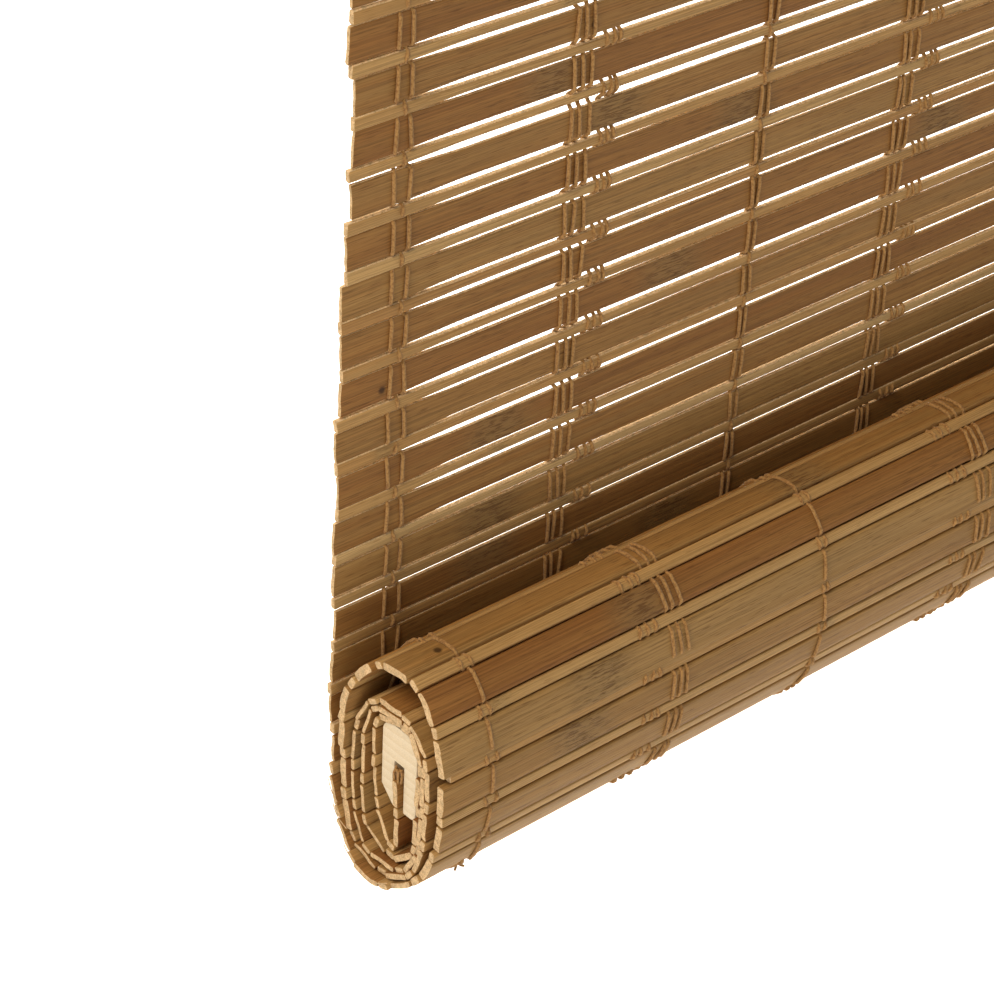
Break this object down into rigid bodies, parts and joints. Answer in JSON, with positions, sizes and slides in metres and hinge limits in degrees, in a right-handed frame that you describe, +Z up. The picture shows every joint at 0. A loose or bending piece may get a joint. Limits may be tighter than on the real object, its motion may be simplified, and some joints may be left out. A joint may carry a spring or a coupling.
{
  "type": "bamboo roll up blind",
  "caption": "Woven bamboo blind of flat slats and round sticks bound by cotton warp threads, hung from a head rail and partly rolled up round a slotted core lath.",
  "frame": {"origin": "on the wall, midway between the two wall screws", "axes": "+X along the blind's width, -Y into the room, +Z up"},
  "size_m": [0.6176, 0.0534, 0.7027],
  "materials": {
    "bamboo": "split and planed, bare",
    "pine": "planed, bare",
    "cotton": "twisted thread",
    "zinc_steel": "zinc plated",
    "nylon": "moulded"
  },
  "bodies": {
    "head": {"hanging_mat": "bamboo", "head_rail": "pine", "clamp_strip": "pine", "clamp_nails": "zinc_steel", "hanger_plate_left": "zinc_steel", "hanger_plate_right": "zinc_steel", "plate_screws": "zinc_steel", "pulley_left_housing": "zinc_steel", "pulley_left_axle": "zinc_steel", "pulley_right_housing": "zinc_steel", "pulley_right_axle": "zinc_steel", "pulley_screws": "zinc_steel", "warp_2": "cotton", "warp_3": "cotton", "warp_4": "cotton", "warp_5": "cotton", "warp_6": "cotton", "warp_7": "cotton", "warp_8": "cotton", "warp_9": "cotton"},
    "roll": {"rolled_mat": "bamboo", "core_lath": "pine"},
    "left_sheave": {"pulley_left_sheave": "nylon"},
    "right_front_sheave": {"pulley_right_sheave_front": "nylon"},
    "right_back_sheave": {"pulley_right_sheave_back": "nylon"}
  },
  "joints": [
    {"name": "roll_raise", "type": "slide", "parent": "head", "child": "roll", "axis": [0, 0, 1], "range_m": [0, 0.55], "deforming": ["hanging_mat", "warp_2", "warp_3", "warp_4", "warp_5", "warp_6", "warp_7", "warp_8", "warp_9"]},
    {"name": "left_sheave_spin", "type": "hinge", "parent": "head", "child": "left_sheave", "pos_m": [-0.15, -0.0216, -0.0507], "axis": [0, 1, 0], "continuous": true},
    {"name": "right_front_sheave_spin", "type": "hinge", "parent": "head", "child": "right_front_sheave", "pos_m": [0.15, -0.02435, -0.0507], "axis": [0, 1, 0], "continuous": true},
    {"name": "right_back_sheave_spin", "type": "hinge", "parent": "head", "child": "right_back_sheave", "pos_m": [0.15, -0.01885, -0.0507], "axis": [0, 1, 0], "continuous": true}
  ]
}
